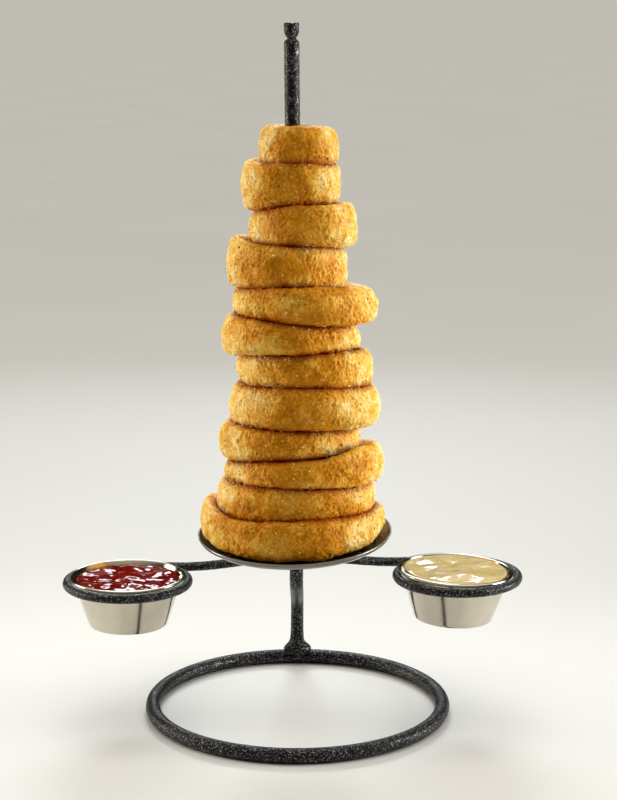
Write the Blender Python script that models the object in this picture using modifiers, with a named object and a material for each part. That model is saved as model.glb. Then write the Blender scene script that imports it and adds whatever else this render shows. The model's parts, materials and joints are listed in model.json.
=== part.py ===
"""Onion ring tower on a welded rod stand with two dip cups.

Sizes are millimetres in the table below and metres in the scene.
The base ring rests on Z = 0; +X is to the right of the picture and -Y is its
front. At the end the whole is moved level, so its box is over the origin.
"""
import math
import random

import bmesh
import bpy
from mathutils import Vector

MM = 0.001
GAP = 0.3
CUTTER_GAP = 0.4

# Stand
BASE_RADIUS = 76.0
BASE_ROD = 4.0
BASE_STEPS = 40
BASE_SIDES = 10
STEM_X = -0.6
STEM_FOOT_SHIFT = -0.2
STEM_ROD = 3.55
STEM_LOW_BEND = 37.0
STEM_HIGH_BEND = 69.0
STEM_TOP = 90.5
STEM_BEND_RADIUS = 15.0
STEM_BEND_STEPS = 5
WELD_RADIUS = 7.2
WELD_STRETCH = (1.12, 0.74, 0.66)
WELD_UNEVEN = 0.07
WELD_SINK = 0.8
WELD_LIFT = 0.4
POST_ROD = 3.8
POST_FOOT = 91.0
POST_TOP = 356.0
POST_LEAN = math.radians(0.45)
POST_CHAMFER = 0.3
POST_STEPS = 18
KNOB_RADIUS = 3.7
NECK_RADIUS = 2.2
# Turned end of the post, as radius and depth below its top.
KNOB_PROFILE = (
    (0.0, 0.0),
    (2.7, 0.0),
    (3.3, 1.0),
    (KNOB_RADIUS, 3.0),
    (KNOB_RADIUS, 4.6),
    (3.2, 6.4),
    (NECK_RADIUS, 7.4),
    (NECK_RADIUS, 8.2),
    (3.3, 8.8),
    (POST_ROD, 9.8),
)

# Plate under the rings, tipped a little towards the front
PLATE_RADIUS = 50.1
PLATE_X = -1.3
PLATE_FLOOR = 93.0
PLATE_SHEET = 1.1
PLATE_RISE = 3.6
PLATE_LIP = 0.45
PLATE_TIP = math.radians(5.0)
PLATE_ROLL = math.radians(1.5)
PLATE_STEPS = 40
# Where the plate's floor ends and where its wall turns up, as shares of its
# radius, with the height of the turn's inner and outer side as shares of its rise.
PLATE_FLAT_SHARE = 0.80
PLATE_TURN_SHARE = 0.92
PLATE_TURN_INNER = 0.30
PLATE_TURN_OUTER = 0.20

# Cup holders, cups and dips
WIRE = 2.4
HOLDER_RADIUS = 31.5
HOLDER_STEP = math.radians(10.0)
HOLDER_MOUTH = math.radians(36.0)
HOLDER_TANGENT = math.radians(71.0)
# An arm is a curve from its holder to a point beside the stem.
ARM_POINTS = 8
ARM_BEND = 34.0
ARM_END_X = 4.5
ARM_END_Y = 3.0
ARM_END_Z = 82.5
ARM_END_WAY = (0.92, -0.38, 0.12)
ARM_END_BEND = 24.0
CUP_RIM_RADIUS = 30.1
CUP_BEAD = 0.85
CUP_WALL = 0.8
CUP_FOOT_RADIUS = 20.6
CUP_CORNER = 2.6
CUP_HEIGHT = 26.4
CUP_STEPS = 32
# Degrees round the section of the rolled rim.
CUP_BEAD_TURNS = (150, 90, 30, -30, -100)
CUP_CREASE = 0.5
CUP_FOOT_ROUND = 0.6
DIP_SPOKES = 28
DIP_RINGS = 10
DIP_EDGE = 0.2
DIP_SIDE_GAP = 0.85
# The right cup hangs a little to the left in its holder, and so it tips to
# the right. A lift is the height of the rim's roll over the holder's wire.
SIDES = {
    "left": {"x": -88.4, "y": 0.0, "z": 69.9, "mirror": 1.0, "cup_shift": 0.0, "cup_tip": 0.0,
             "cup_lift": 2.81, "dip_drop": 1.7, "dip_dome": 0.2, "swirl": 0.7},
    "right": {"x": 83.1, "y": 0.0, "z": 73.1, "mirror": -1.0, "cup_shift": -1.0,
              "cup_tip": math.radians(2.5), "cup_lift": 3.05, "dip_drop": 0.5, "dip_dome": 1.3,
              "swirl": 0.6},
}
# Swirl of a dip: arms, turns in radians from the middle to the rim, and phase.
SWIRL_ARMS = 2.0
SWIRL_TWIST = 7.0
SWIRL_PHASE = 0.6
# Where a dip's swirl fades out, as shares of the cup's rim radius.
SWIRL_MIDDLE = 0.4
SWIRL_CALM = (0.72, 0.92)
# Lumps across a dip: radians per millimetre and phase, along X and along Y.
DIP_LUMP_X = (0.33, 1.2)
DIP_LUMP_Y = (0.41, 0.5)

# Rings of food, top one first: outer radius, centre X, centre Y, wall width,
# height of the seam under its front, how much the outline is drawn out
# sideways, squareness of the section (1 is round, smaller is squarer), and
# flare, by which the lower half stands out beyond the upper one.
RING_SPOKES = 32
RING_SIDES = 10
RING_GAP = 0.36
TOWER_TOP = 307.0
LEAN_BACK = 0.030
SADDLE = 1.3
OUTLINE_WAVE = 0.55
INNER_WAVE = 0.6
SEAM_WAVE = 0.5
# A seam is flat near the post and wavy from the second radius on.
SEAM_CALM = (4.0, 22.0)
# The lowest ring follows the plate's wall up from this share of its radius.
DISH_START = 0.78
DISH_RISE = 1.1
RINGS = (
    (20.2, 1.0, 0.0, 11.8, 288.4, 0.00, 0.62, 0.10),
    (24.6, -3.3, 1.0, 13.0, 267.2, 0.03, 0.78, 0.00),
    (26.6, 3.2, -0.5, 13.6, 248.2, 0.01, 0.60, 0.12),
    (30.0, -4.7, 1.0, 14.4, 227.6, 0.01, 0.68, 0.05),
    (36.0, 3.8, 0.0, 15.6, 210.8, 0.02, 0.70, 0.10),
    (35.2, -3.5, -1.0, 15.0, 195.8, 0.01, 0.84, 0.30),
    (35.0, 4.0, 0.5, 15.2, 178.0, 0.00, 0.62, 0.06),
    (38.3, 3.7, 0.0, 16.0, 157.2, 0.01, 0.84, 0.16),
    (36.5, -3.8, 0.5, 15.4, 141.6, 0.00, 0.68, 0.00),
    (40.4, 3.4, -0.5, 16.2, 129.0, 0.01, 0.66, 0.10),
    (40.9, -0.7, 0.0, 16.4, 110.6, 0.00, 0.70, 0.06),
    (47.3, -2.6, 0.6, 17.8, None, 0.01, 0.54, 0.10),
)
# Tilt of each seam, as height per millimetre to the right and to the rear.
SEAM_TILT = (
    (-0.020, 0.000),
    (0.010, 0.010),
    (0.035, 0.000),
    (-0.010, -0.010),
    (-0.018, -0.020),
    (-0.055, 0.010),
    (-0.010, -0.030),
    (-0.010, 0.000),
    (-0.015, 0.000),
    (0.045, 0.010),
    (0.010, -0.010),
    (0.030, 0.000),
)
# Shoulders puffed up outside the ring above: ring number, direction in
# degrees (0 is right, -90 is front), height, and spread in degrees.
SHOULDERS = (
    (2, 175.0, 1.0, 50.0),
    (4, 180.0, 4.4, 60.0),
    (10, -48.0, 6.0, 30.0),
    (10, 0.0, 3.0, 36.0),
    (12, 178.0, 10.0, 52.0),
    (12, 0.0, 4.4, 26.0),
)
# Ends hanging below the seam, outside the ring under them.
DROOPS = (
    (6, 180.0, 2.4, 35.0),
    (9, 190.0, 1.5, 40.0),
)
SHOULDER_CLEAR = 2.6
SHOULDER_EASE = 2.5
DROOP_EASE = (0.5, 2.5)
# Lumps of the batter: waves round the ring, waves round its section, share of the height.
LUMP_HEIGHT = 0.375
LUMP_WAVES = ((5.0, 2.0, 1.0), (9.0, -1.0, 0.8), (13.0, 3.0, 0.6))
SEED = 20


def clear_scene():
    """Remove every object and collection of the start scene."""
    for item in list(bpy.data.objects):
        bpy.data.objects.remove(item, do_unlink=True)
    for group in list(bpy.data.collections):
        bpy.data.collections.remove(group)


def new_collection(name):
    """Return a collection linked to the scene."""
    group = bpy.data.collections.new(name)
    bpy.context.scene.collection.children.link(group)
    return group


def finish(name, colour, roughness, metallic):
    """Return a Principled material of one colour."""
    material = bpy.data.materials.new(name)
    material.use_nodes = True
    shader = material.node_tree.nodes["Principled BSDF"]
    shader.inputs["Base Color"].default_value = (*colour, 1.0)
    shader.inputs["Roughness"].default_value = roughness
    shader.inputs["Metallic"].default_value = metallic
    return material


def place(name, mesh, material, group):
    """Put a mesh in the scene as a named object."""
    item = bpy.data.objects.new(name, mesh)
    if material is not None:
        mesh.materials.append(material)
    group.objects.link(item)
    return item


def turned(name, profile, steps, closed, material, group):
    """Turn a profile of (radius, height) points once round Z."""
    mesh = bpy.data.meshes.new(name)
    points = [(radius * MM, 0.0, height * MM) for radius, height in profile]
    edges = [(k, k + 1) for k in range(len(points) - 1)]
    if closed:
        edges.append((len(points) - 1, 0))
    mesh.from_pydata(points, edges, [])
    item = place(name, mesh, material, group)
    screw = item.modifiers.new("turn", "SCREW")
    screw.axis = "Z"
    screw.angle = 2.0 * math.pi
    screw.steps = steps
    screw.render_steps = steps
    screw.use_merge_vertices = True
    screw.merge_threshold = 0.00001
    screw.use_normal_calculate = True
    return item


def rod(name, path, radius, resolution, material, group):
    """Sweep a round rod with flat ends along a path of points."""
    curve = bpy.data.curves.new(name + "_path", "CURVE")
    curve.dimensions = "3D"
    curve.bevel_depth = radius * MM
    curve.bevel_resolution = resolution
    curve.use_fill_caps = True
    spline = curve.splines.new("POLY")
    spline.points.add(len(path) - 1)
    for point, (x, y, z) in zip(spline.points, path):
        point.co = (x * MM, y * MM, z * MM, 1.0)
    source = bpy.data.objects.new(name + "_path", curve)
    group.objects.link(source)
    bpy.context.view_layer.update()
    graph = bpy.context.evaluated_depsgraph_get()
    mesh = bpy.data.meshes.new_from_object(source.evaluated_get(graph))
    mesh.name = name
    bpy.data.objects.remove(source, do_unlink=True)
    shape = bmesh.new()
    shape.from_mesh(mesh)
    bmesh.ops.remove_doubles(shape, verts=shape.verts, dist=0.000001)
    bmesh.ops.recalc_face_normals(shape, faces=shape.faces)
    shape.to_mesh(mesh)
    shape.free()
    mesh.materials.clear()
    return place(name, mesh, material, group)


def cut(item, tool, operation):
    """Add an exact Boolean to an object and keep its tool as a wire cutter."""
    boolean = item.modifiers.new(operation.lower(), "BOOLEAN")
    boolean.operation = operation
    boolean.object = tool
    boolean.solver = "EXACT"
    tool.hide_render = True
    tool.display_type = "WIRE"


def smooth_step(low, high, value):
    """Ease from 0 at low to 1 at high."""
    share = min(max((value - low) / (high - low), 0.0), 1.0)
    return share * share * (3.0 - 2.0 * share)


def bell(angle, degrees, spread):
    """Return a smooth bump round a ring: 1 in one direction, fading over a spread in degrees."""
    away = abs((angle - math.radians(degrees) + math.pi) % (2.0 * math.pi) - math.pi)
    return math.exp(-(away / math.radians(spread)) ** 2)


def bent_path(corners, bend_radius, bend_points):
    """Round the inner corners of a path with arcs of one radius."""
    path = [Vector(corners[0])]
    for before, corner, after in zip(corners, corners[1:], corners[2:]):
        here = Vector(corner)
        back = (Vector(before) - here).normalized()
        ahead = (Vector(after) - here).normalized()
        half = back.angle(ahead) / 2.0
        reach = bend_radius / math.tan(half)
        middle = here + (back + ahead).normalized() * (bend_radius / math.sin(half))
        start = here + back * reach - middle
        end = here + ahead * reach - middle
        sweep = start.angle(end)
        for k in range(bend_points + 1):
            share = k / bend_points
            blend = (start * math.sin((1.0 - share) * sweep) + end * math.sin(share * sweep))
            path.append(middle + blend / math.sin(sweep))
    path.append(Vector(corners[-1]))
    return path


def base_section(radius, rod_radius, sides):
    """Return a ring's section polygon with one flat side turned down."""
    half = math.pi / sides
    height = BASE_ROD * math.cos(half)
    section = []
    for k in range(sides):
        angle = math.pi / 2.0 + half - 2.0 * half * k
        section.append((radius + rod_radius * math.cos(angle), height + rod_radius * math.sin(angle)))
    return section


def build_stand(group, tools, coat):
    """Build the base ring, the bent stem with its weld, and the post."""
    turned("base_ring", base_section(BASE_RADIUS, BASE_ROD, BASE_SIDES), BASE_STEPS, True, coat, group)
    corners = (
        (STEM_X + STEM_FOOT_SHIFT, BASE_RADIUS, BASE_ROD),
        (STEM_X, BASE_RADIUS, STEM_LOW_BEND),
        (STEM_X, 0.0, STEM_HIGH_BEND),
        (STEM_X, 0.0, STEM_TOP),
    )
    stem = rod("stem", bent_path(corners, STEM_BEND_RADIUS, STEM_BEND_STEPS), STEM_ROD, 3, coat, group)
    weld_shape = bmesh.new()
    bmesh.ops.create_icosphere(weld_shape, subdivisions=2, radius=WELD_RADIUS * MM)
    pick = random.Random(SEED)
    for vertex in weld_shape.verts:
        vertex.co *= 1.0 + pick.uniform(-WELD_UNEVEN, WELD_UNEVEN)
        vertex.co *= Vector(WELD_STRETCH)
    weld_mesh = bpy.data.meshes.new("weld_bead")
    weld_shape.to_mesh(weld_mesh)
    weld_shape.free()
    weld = place("weld_bead", weld_mesh, None, tools)
    weld.location = (STEM_X * MM, (BASE_RADIUS - WELD_SINK) * MM, (2.0 * BASE_ROD + WELD_LIFT) * MM)
    cut(stem, weld, "UNION")
    clearance = turned("ring_clearance", base_section(BASE_RADIUS, BASE_ROD + CUTTER_GAP, BASE_SIDES),
                       BASE_STEPS, True, None, tools)
    cut(stem, clearance, "DIFFERENCE")
    length = POST_TOP - POST_FOOT
    profile = [(radius, length - depth) for radius, depth in KNOB_PROFILE]
    profile += [(POST_ROD, POST_CHAMFER), (POST_ROD - POST_CHAMFER, 0.0), (0.0, 0.0)]
    post = turned("post", profile, POST_STEPS, False, coat, group)
    post.location = (STEM_X * MM, 0.0, POST_FOOT * MM)
    post.rotation_euler = (0.0, -POST_LEAN, 0.0)


def build_plate(group, steel):
    """Build the shallow plate, open at its centre for the post."""
    hole = POST_ROD + GAP + CUTTER_GAP
    flat = PLATE_RADIUS * PLATE_FLAT_SHARE
    turn = PLATE_RADIUS * PLATE_TURN_SHARE
    lip = PLATE_RADIUS - PLATE_LIP
    top = PLATE_RISE
    sheet = PLATE_SHEET
    profile = (
        (hole, sheet),
        (flat, sheet),
        (turn, sheet + PLATE_TURN_INNER * top),
        (lip - PLATE_LIP, sheet + top - PLATE_LIP),
        (lip, sheet + top),
        (PLATE_RADIUS, sheet + top - PLATE_LIP),
        (PLATE_RADIUS, sheet + top / 2.0),
        (turn, PLATE_TURN_OUTER * top),
        (flat, 0.0),
        (hole, 0.0),
    )
    plate = turned("plate", profile, PLATE_STEPS, True, steel, group)
    plate.location = (PLATE_X * MM, 0.0, PLATE_FLOOR * MM)
    plate.rotation_euler = (PLATE_TIP, -PLATE_ROLL, 0.0)


def holder_path(side):
    """Return a holder's path: arm from the stem, then most of a circle."""
    flip = side["mirror"]
    centre = Vector((side["x"], side["y"], side["z"]))
    first = HOLDER_TANGENT
    touch = centre + HOLDER_RADIUS * Vector((flip * math.cos(first), math.sin(first), 0.0))
    along = Vector((flip * math.sin(first), -math.cos(first), 0.0))
    end = Vector((STEM_X - flip * ARM_END_X, ARM_END_Y, ARM_END_Z))
    inward = Vector(ARM_END_WAY).normalized() * Vector((flip, 1.0, 1.0))
    path = []
    for k in range(ARM_POINTS):
        t = 1.0 - k / ARM_POINTS
        near = touch + along * ARM_BEND
        far = end - inward * ARM_END_BEND
        point = touch * (1 - t) ** 3 + near * 3 * t * (1 - t) ** 2 + far * 3 * t * t * (1 - t) + end * t ** 3
        path.append(point)
    turn = 2.0 * math.pi - HOLDER_MOUTH
    steps = round(turn / HOLDER_STEP)
    for k in range(steps + 1):
        angle = first + turn * k / steps
        path.append(centre + HOLDER_RADIUS * Vector((flip * math.cos(angle), math.sin(angle), 0.0)))
    return path


def cup_inner_radius(height):
    """Return the cup's inner radius at a height above its foot."""
    share = height / CUP_HEIGHT
    return CUP_FOOT_RADIUS + (CUP_RIM_RADIUS - 2.0 * CUP_BEAD - CUP_FOOT_RADIUS) * share - CUP_WALL


def build_cup(name, side, group, steel):
    """Build one cup with a rolled rim, hanging in its holder."""
    rim_centre = CUP_RIM_RADIUS - CUP_BEAD
    rim_height = CUP_HEIGHT - CUP_BEAD
    profile = [(0.0, CUP_WALL), (CUP_FOOT_RADIUS - CUP_CORNER - CUP_WALL, CUP_WALL)]
    profile.append((cup_inner_radius(CUP_CORNER) - CUP_CREASE, CUP_CORNER))
    profile.append((rim_centre - CUP_BEAD - CUP_CREASE, rim_height - CUP_CREASE))
    for degrees in CUP_BEAD_TURNS:
        angle = math.radians(degrees)
        profile.append((rim_centre + CUP_BEAD * math.cos(angle), rim_height + CUP_BEAD * math.sin(angle)))
    profile.append((rim_centre - CUP_BEAD, rim_height - CUP_BEAD - CUP_CREASE))
    profile.append((CUP_FOOT_RADIUS + CUP_CREASE, CUP_CORNER))
    profile.append((CUP_FOOT_RADIUS - CUP_FOOT_ROUND, CUP_FOOT_ROUND))
    profile.append((CUP_FOOT_RADIUS - CUP_CORNER, 0.0))
    profile.append((0.0, 0.0))
    hang(turned(name, profile, CUP_STEPS, False, steel, group), side)


def hang(item, side):
    """Move a cup or a dip, whose foot is at the origin, to its place in the holder."""
    drop = CUP_HEIGHT - CUP_BEAD
    x = side["x"] + side["cup_shift"] - drop * math.sin(side["cup_tip"])
    z = side["z"] + side["cup_lift"] - drop * math.cos(side["cup_tip"])
    item.location = (x * MM, side["y"] * MM, z * MM)
    item.rotation_euler = (0.0, side["cup_tip"], 0.0)


def dip_surface(side, x, y):
    """Return the height of the swirled top of a dip over its mean level."""
    radius = math.hypot(x, y) / CUP_RIM_RADIUS
    angle = math.atan2(y, x)
    dome = side["dip_dome"] * (1.0 - radius * radius)
    spiral = math.sin(SWIRL_ARMS * angle + SWIRL_TWIST * radius + SWIRL_PHASE)
    spiral *= smooth_step(0.0, SWIRL_MIDDLE, radius)
    lumps = math.sin(DIP_LUMP_X[0] * x + DIP_LUMP_X[1]) * math.sin(DIP_LUMP_Y[0] * y + DIP_LUMP_Y[1])
    edge = 1.0 - smooth_step(*SWIRL_CALM, radius)
    return dome + side["swirl"] * edge * 0.6 * (spiral + lumps)


def build_dip(name, side, group, material):
    """Build a dip that fills its cup up to the level shown."""
    shape = bmesh.new()
    bmesh.ops.create_uvsphere(shape, u_segments=DIP_SPOKES, v_segments=DIP_RINGS, radius=1.0)
    level = CUP_HEIGHT - side["dip_drop"]
    floor = CUP_WALL + GAP
    half = DIP_RINGS // 2
    for vertex in shape.verts:
        turn = math.acos(min(max(vertex.co.z, -1.0), 1.0)) / math.pi * DIP_RINGS
        row = round(turn)
        angle = math.atan2(vertex.co.y, vertex.co.x)
        if row <= half:
            radius = (cup_inner_radius(level) + DIP_EDGE) * math.sin(row / half * math.pi / 2.0)
            x = radius * math.cos(angle)
            y = radius * math.sin(angle)
            height = level + dip_surface(side, x, y)
        elif row < DIP_RINGS - 1:
            share = (row - half) / (DIP_RINGS - 1 - half)
            height = level + (floor + CUP_CORNER - level) * share
            radius = cup_inner_radius(height) - DIP_SIDE_GAP
        else:
            height = floor
            radius = 0.0
            if row == DIP_RINGS - 1:
                radius = CUP_FOOT_RADIUS - CUP_CORNER - CUP_WALL - 2.0 * GAP
        vertex.co = (radius * math.cos(angle) * MM, radius * math.sin(angle) * MM, height * MM)
    bmesh.ops.recalc_face_normals(shape, faces=shape.faces)
    mesh = bpy.data.meshes.new(name)
    shape.to_mesh(mesh)
    shape.free()
    hang(place(name, mesh, material, group), side)


def waves(pick, count, size):
    """Return a few random waves round a ring: number, phase and height."""
    return [(k + 2, pick.uniform(0.0, 2.0 * math.pi), pick.uniform(0.4, 1.0) * size / (k + 1))
            for k in range(count)]


def wave_height(wave_list, angle):
    """Add up waves at an angle."""
    return sum(size * math.sin(number * angle + phase) for number, phase, size in wave_list)


def ring_outline(number, angle, outline_waves):
    """Return ring's outer radius in a direction from its own centre."""
    radius = RINGS[number - 1][0]
    drawn_out = RINGS[number - 1][5]
    return radius * (1.0 + drawn_out * math.cos(2.0 * angle)) + wave_height(outline_waves[number], angle)


def seam_height(index, x, y, seam_waves):
    """Return the height of a seam: 0 is the top, 12 lies on the plate."""
    if index == len(RINGS):
        from_centre = math.hypot(x - PLATE_X, y) / PLATE_RADIUS
        rise = DISH_RISE * PLATE_RISE * smooth_step(DISH_START, 1.0, from_centre)
        return (PLATE_FLOOR + PLATE_SHEET + rise + (x - PLATE_X) * math.tan(PLATE_ROLL)
                + y * math.tan(PLATE_TIP))
    level = TOWER_TOP
    front = RINGS[0][0]
    if index > 0:
        level = RINGS[index - 1][4]
        front = RINGS[index - 1][0]
    to_right, to_rear = SEAM_TILT[index]
    angle = math.atan2(y, x)
    spread = smooth_step(*SEAM_CALM, math.hypot(x, y))
    wave = wave_height(seam_waves[index], angle) - SADDLE * math.cos(angle) ** 2
    return level + to_right * x + (to_rear - LEAN_BACK) * (y + front) + spread * wave


def build_ring(number, outline_waves, seam_waves, group, crust):
    """Build one battered onion ring between its two seams."""
    radius, centre_x, centre_y, wall, _, _, square, flare = RINGS[number - 1]
    shape_name = f"onion_ring_{number:02d}"
    middle = radius - wall / 2.0
    bpy.ops.mesh.primitive_torus_add(major_segments=RING_SPOKES, minor_segments=RING_SIDES,
                                     major_radius=middle * MM, minor_radius=wall / 2.0 * MM)
    ring = bpy.context.active_object
    ring.name = shape_name
    ring.data.name = shape_name
    for owner in list(ring.users_collection):
        owner.objects.unlink(ring)
    group.objects.link(ring)
    ring.data.materials.append(crust)
    pick = random.Random(SEED + number)
    lump_phase = [pick.uniform(0.0, 2.0 * math.pi) for _ in range(6)]
    inner_waves = waves(pick, 3, INNER_WAVE)
    for vertex in ring.data.vertices:
        x = vertex.co.x / MM
        y = vertex.co.y / MM
        across = math.hypot(x, y) - middle
        up = vertex.co.z / MM
        angle = math.atan2(y, x)
        turn = math.atan2(up, across)
        out_share = math.copysign(abs(math.cos(turn)) ** square, math.cos(turn))
        up_share = math.copysign(abs(math.sin(turn)) ** square, math.sin(turn))
        outer = ring_outline(number, angle, outline_waves)
        inner = radius - wall + wave_height(inner_waves, angle)
        mid = (outer + inner) / 2.0
        lump = sum(share * math.sin(round_ring * angle + round_section * turn + phase)
                   for (round_ring, round_section, share), phase in zip(LUMP_WAVES, lump_phase))
        fade = max(math.cos(turn), 0.0) ** 0.5
        reach = mid + (outer - mid) * out_share + LUMP_HEIGHT * fade * lump
        reach -= flare * wall / 2.0 * up_share * max(out_share, 0.0)
        px = centre_x + reach * math.cos(angle)
        py = centre_y + reach * math.sin(angle)
        low = seam_height(number, px, py, seam_waves) + RING_GAP / 2.0
        high = seam_height(number - 1, px, py, seam_waves) - RING_GAP / 2.0
        height = (low + high) / 2.0 + (high - low) / 2.0 * up_share
        if number > 1:
            above = RINGS[number - 2]
            over_x = px - above[1]
            over_y = py - above[2]
            over_angle = math.atan2(over_y, over_x)
            outside = math.hypot(over_x, over_y) - ring_outline(number - 1, over_angle, outline_waves)
            for owner_number, degrees, lift, spread in SHOULDERS:
                if owner_number == number and up_share > 0.0:
                    clear = smooth_step(SHOULDER_CLEAR, SHOULDER_CLEAR + SHOULDER_EASE, outside)
                    height += lift * bell(angle, degrees, spread) * up_share * clear
        if number < len(RINGS):
            below = RINGS[number]
            under_x = px - below[1]
            under_y = py - below[2]
            under_angle = math.atan2(under_y, under_x)
            outside = math.hypot(under_x, under_y) - ring_outline(number + 1, under_angle, outline_waves)
            for owner_number, degrees, drop, spread in DROOPS:
                if owner_number == number and up_share < 0.0:
                    clear = smooth_step(*DROOP_EASE, outside)
                    height += drop * bell(angle, degrees, spread) * up_share * clear
        vertex.co = (px * MM, py * MM, height * MM)


def centre_on_origin(groups):
    """Move everything level so that the whole part's box stands over the origin."""
    bpy.context.view_layer.update()
    graph = bpy.context.evaluated_depsgraph_get()
    corners = []
    for item in groups[0].objects:
        solid = item.evaluated_get(graph)
        corners += [item.matrix_world @ vertex.co for vertex in solid.to_mesh().vertices]
        solid.to_mesh_clear()
    shift_x = -(min(c.x for c in corners) + max(c.x for c in corners)) / 2.0
    shift_y = -(min(c.y for c in corners) + max(c.y for c in corners)) / 2.0
    for group in groups:
        for item in group.objects:
            item.location.x += shift_x
            item.location.y += shift_y


def main():
    """Build the stand, its plate and cups, and the rings of food."""
    clear_scene()
    group = new_collection("onion_ring_tower")
    tools = new_collection("cutters")
    tools.hide_render = True
    coat = finish("hammered_black_coat", (0.018, 0.018, 0.019), 0.42, 0.35)
    steel = finish("stainless_steel", (0.62, 0.60, 0.56), 0.22, 1.0)
    plate_steel = finish("plate_steel", (0.30, 0.28, 0.25), 0.30, 1.0)
    crust = finish("fried_crumb_batter", (0.62, 0.30, 0.045), 0.60, 0.0)
    red_sauce = finish("red_sauce", (0.28, 0.012, 0.006), 0.15, 0.0)
    yellow_sauce = finish("yellow_sauce", (0.72, 0.50, 0.16), 0.22, 0.0)
    build_stand(group, tools, coat)
    build_plate(group, plate_steel)
    for label, side in SIDES.items():
        rod(f"{label}_holder", holder_path(side), WIRE, 2, coat, group)
        build_cup(f"{label}_cup", side, group, steel)
        build_dip(f"{label}_dip", side, group, red_sauce if label == "left" else yellow_sauce)
    pick = random.Random(SEED)
    outline_waves = {number: waves(pick, 4, OUTLINE_WAVE) for number in range(1, len(RINGS) + 1)}
    seam_waves = [waves(pick, 2, SEAM_WAVE) for _ in range(len(RINGS) + 1)]
    for number in range(1, len(RINGS) + 1):
        build_ring(number, outline_waves, seam_waves, group, crust)
    centre_on_origin((group, tools))


main()
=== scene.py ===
"""Looks of an onion ring tower on a welded rod stand with two dip cups.

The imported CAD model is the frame. Every piece here is built in its place, in
metres, with +X to the right and -Y to the front.
"""
import json
import math

import bpy
import numpy as np
from bpy.props import FloatProperty, FloatVectorProperty, IntProperty, PointerProperty
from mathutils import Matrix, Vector
from mathutils.bvhtree import BVHTree

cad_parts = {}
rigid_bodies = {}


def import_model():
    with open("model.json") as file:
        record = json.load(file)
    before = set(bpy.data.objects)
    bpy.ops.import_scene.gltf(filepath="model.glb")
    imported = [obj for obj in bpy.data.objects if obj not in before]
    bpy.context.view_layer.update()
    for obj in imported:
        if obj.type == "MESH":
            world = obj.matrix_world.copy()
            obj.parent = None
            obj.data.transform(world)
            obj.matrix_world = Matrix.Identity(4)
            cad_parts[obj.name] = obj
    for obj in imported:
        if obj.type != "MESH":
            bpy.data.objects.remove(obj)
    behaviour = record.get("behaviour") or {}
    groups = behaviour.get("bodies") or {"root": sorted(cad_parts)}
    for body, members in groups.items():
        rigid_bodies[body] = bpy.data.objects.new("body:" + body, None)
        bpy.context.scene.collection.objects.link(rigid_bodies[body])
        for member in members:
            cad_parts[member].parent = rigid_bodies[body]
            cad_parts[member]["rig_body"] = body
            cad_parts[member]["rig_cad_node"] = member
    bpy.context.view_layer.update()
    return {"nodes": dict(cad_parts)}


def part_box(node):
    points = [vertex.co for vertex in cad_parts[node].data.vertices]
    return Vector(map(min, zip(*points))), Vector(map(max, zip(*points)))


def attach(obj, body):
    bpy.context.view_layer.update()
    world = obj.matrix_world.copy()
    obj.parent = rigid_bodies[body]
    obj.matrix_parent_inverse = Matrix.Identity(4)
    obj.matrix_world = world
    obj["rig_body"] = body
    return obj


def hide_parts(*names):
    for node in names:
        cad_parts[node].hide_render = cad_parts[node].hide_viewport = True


bl_info = {
    "name": "Onion Ring Tower",
    "version": (1, 0, 0),
    "blender": (4, 5, 0),
    "location": "3D View > Sidebar > Onion Tower",
    "description": "Dresses the onion ring tower's solids in crust, coated rod, steel and dips",
    "category": "Object",
}

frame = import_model()

MM = 0.001
RING_COUNT = 12

# Painted shade in the seams: the crust is painted brown where the next ring is nearer than the
# core, and the shade fades out at the reach, in millimetres. The fall is the power that the fade
# follows.
SEAM_CORE = 0.6
SEAM_REACH = 4.8
SEAM_FALL = 1.1
# Each ring is made this much higher, so that the seams are pressed shut
RING_STRETCH = 1.14
# A loose crumb's middle lies this share of its size under the crust
CRUMB_SINK = 0.25
# Steps from none to full in the weights that hold a relief back
WEIGHT_STEPS = 20

# Places of the turned parts in the frame, in millimetres
POST_FOOT = (2.05, -0.335, 91.0)
POST_LEAN = math.radians(0.45)
POST_LENGTH = 265.0
POST_ROD = 3.8
# The post's turned knob: radius, and depth below the top
POST_KNOB = ((3.75, 3.0), (3.7, 4.6), (3.2, 6.2), (2.3, 7.3), (2.3, 8.2), (3.2, 8.7))
# Where the straight rod starts below the top, and how many rings it is cut into
POST_SHOULDER = 9.8
POST_RINGS = 380
PLATE_FOOT = (1.35, -0.335, 93.0)
PLATE_RADIUS = 50.1
PLATE_SHEET = 1.1
PLATE_RISE = 3.6
PLATE_TIP = math.radians(5.0)
PLATE_ROLL = math.radians(1.5)
BASE_CENTRE = (2.65, -0.335)
BASE_RADIUS = 76.0
BASE_ROD = 3.85

# The plate's upper face where it flares, and its lower face: share of its radius, and share
# of its rise
PLATE_FLARE = ((0.86, 0.07), (0.92, 0.28), (0.96, 0.58))
PLATE_BELLY = ((0.93, 0.22), (0.86, 0.05), (0.78, 0.0), (0.4, 0.0))

# Cup, in millimetres
CUP_RIM_RADIUS = 30.1
CUP_BEAD = 0.85
CUP_WALL = 0.8
CUP_FOOT_RADIUS = 20.6
CUP_CORNER = 2.6
CUP_HEIGHT = 26.4
# Middle of each cup's rolled rim, and how far the cup tips to the right
CUP_RIMS = {"left": (-85.75, -0.335, 72.71), "right": (84.75, -0.335, 76.15)}
CUP_TIPS = {"left": 0.0, "right": math.radians(2.5)}
# Stirring fades out towards the cup's wall: where it ends, and over what width
DIP_EDGE = 27.6
DIP_FADE = 4.0

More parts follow.
